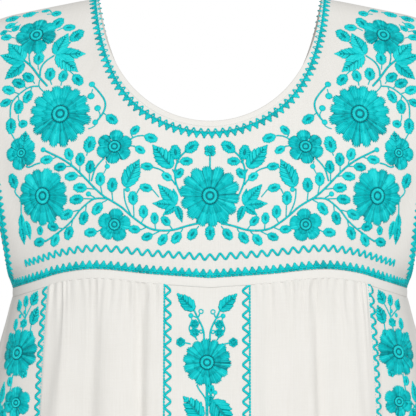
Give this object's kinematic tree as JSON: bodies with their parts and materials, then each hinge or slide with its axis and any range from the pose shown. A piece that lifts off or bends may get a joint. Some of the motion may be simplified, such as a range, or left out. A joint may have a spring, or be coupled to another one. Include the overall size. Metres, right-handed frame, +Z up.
{
  "type": "mexican embroidered dress",
  "caption": "Off-white cotton dress with a scoop neck, cap sleeves, a gathered skirt and turquoise flower embroidery, hollow as worn.",
  "frame": {"origin": "midway between the two shoulder points of the neck, at the height where the wearer's shoulders carry the cloth", "axes": "+X to the right of the front view, -Y to the front of the dress, +Z up"},
  "size_m": [0.6394, 0.4322, 0.9303],
  "materials": {
    "cotton_cloth": "plain-woven off-white cotton with a light slub",
    "cotton_trim": "folded off-white cotton",
    "turquoise_thread": "turquoise embroidery thread with a silky sheen"
  },
  "bodies": {
    "root": {"yoke_front": "cotton_cloth", "yoke_back": "cotton_cloth", "neck_binding": "cotton_trim", "waist_band_front": "cotton_trim", "waist_band_back": "cotton_trim", "skirt_front": "cotton_cloth", "skirt_back": "cotton_cloth"}
  },
  "joints": []
}
